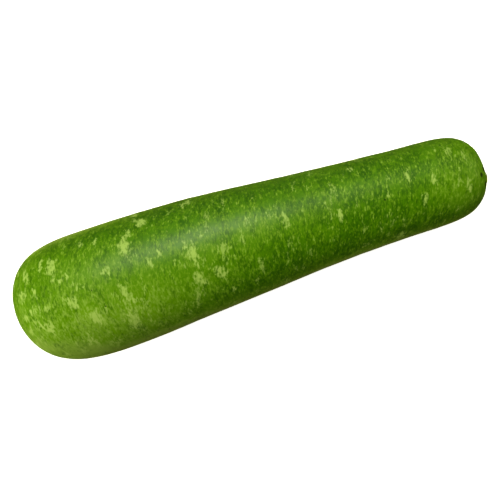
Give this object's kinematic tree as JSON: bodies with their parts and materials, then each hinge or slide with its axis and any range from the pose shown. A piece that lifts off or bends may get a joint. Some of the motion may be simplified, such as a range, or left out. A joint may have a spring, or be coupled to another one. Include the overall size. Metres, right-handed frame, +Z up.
{
  "type": "bottle gourd",
  "caption": "Whole bottle gourd lying on its side: a long mottled green fruit with a full blossom end, a thick neck and a flush-cut stem scar.",
  "frame": {"origin": "middle of the ground that the gourd covers, on the surface it lies on", "axes": "+X from the blossom end to the stem end, +Z up, +Y to its left seen from the blossom end"},
  "size_m": [0.3406, 0.0896, 0.0904],
  "materials": {
    "skin": "satin"
  },
  "bodies": {
    "root": {"bottle_gourd": "skin"}
  },
  "joints": []
}
